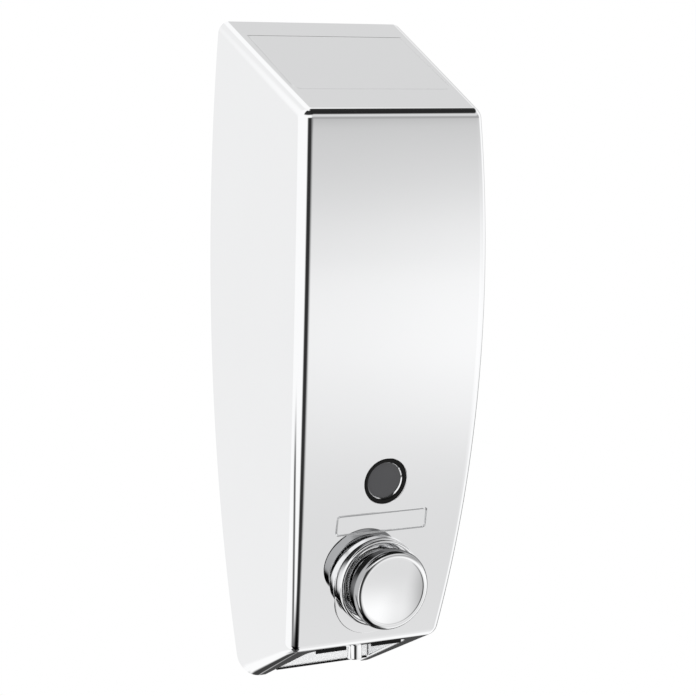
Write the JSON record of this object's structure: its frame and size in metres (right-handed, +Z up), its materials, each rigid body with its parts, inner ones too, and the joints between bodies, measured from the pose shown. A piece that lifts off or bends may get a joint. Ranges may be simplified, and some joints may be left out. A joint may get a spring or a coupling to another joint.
{
  "type": "wall soap dispenser",
  "caption": "Tall chrome-plated wall soap dispenser with a bowed front, sloping lidded top, round sight window, dished push button and a nozzle in the bottom notch.",
  "frame": {"origin": "middle of the wall bracket's back face, on the wall, half way up the dispenser", "axes": "+X to the right as seen from the front, +Y into the wall, +Z up; the front faces -Y"},
  "size_m": [0.074, 0.058, 0.216],
  "materials": {
    "chrome_plate": "polished plate",
    "steel": "plain",
    "black_rubber": "matt",
    "white_plastic": "moulded",
    "bracket_plastic": "moulded",
    "pad_foam": "foam",
    "cover_plastic": "moulded",
    "tank_plastic": "translucent",
    "smoked_lens": "polished, smoked",
    "black_plastic": "moulded",
    "seat_plastic": "moulded"
  },
  "bodies": {
    "bracket": {"wall_bracket": "bracket_plastic", "adhesive_pads": "pad_foam"},
    "dispenser": {"housing": "chrome_plate", "rear_cover": "cover_plastic", "cover_screws": "steel", "soap_tank": "tank_plastic", "tank_grommet": "black_rubber", "lid_seal": "black_rubber", "lid_hinge_pin": "steel", "window_lens": "smoked_lens", "window_gasket": "black_rubber", "window_retainer": "black_plastic", "label_strip": "chrome_plate", "button_collar": "chrome_plate", "panel_gasket": "black_rubber", "pump_body": "white_plastic", "pump_end_cap": "white_plastic", "end_cap_seal": "black_rubber", "inlet_seat": "seat_plastic", "outlet_elbow": "white_plastic", "nozzle": "chrome_plate", "outlet_spring": "steel", "return_spring": "steel"},
    "lid": {"lid": "chrome_plate"},
    "button": {"button_cap": "chrome_plate", "piston_rod": "steel", "piston": "white_plastic", "piston_rings": "black_rubber", "piston_nut": "steel"},
    "inlet_valve": {"inlet_ball": "steel"},
    "outlet_valve": {"outlet_ball": "steel"}
  },
  "joints": [
    {"name": "body_lift", "type": "slide", "parent": "bracket", "child": "dispenser", "axis": [0, 0, 1], "range_m": [0, 0.0078]},
    {"name": "lid_hinge", "type": "hinge", "parent": "dispenser", "child": "lid", "pos_m": [0, -0.0105, 0.10013], "axis": [-1, 0, 0], "range_deg": [0, 92]},
    {"name": "button_push", "type": "slide", "parent": "dispenser", "child": "button", "axis": [0, 0.9945, 0.1045], "range_m": [0, 0.005], "stiffness_N_per_m": 700, "springref_m": -0.006, "deforming": ["return_spring"]},
    {"name": "inlet_lift", "type": "slide", "parent": "dispenser", "child": "inlet_valve", "axis": [0, 0, 1], "range_m": [0, 0.0014]},
    {"name": "outlet_open", "type": "slide", "parent": "dispenser", "child": "outlet_valve", "axis": [0, 0, -1], "range_m": [0, 0.0012], "stiffness_N_per_m": 100, "springref_m": -0.002, "deforming": ["outlet_spring"]}
  ]
}
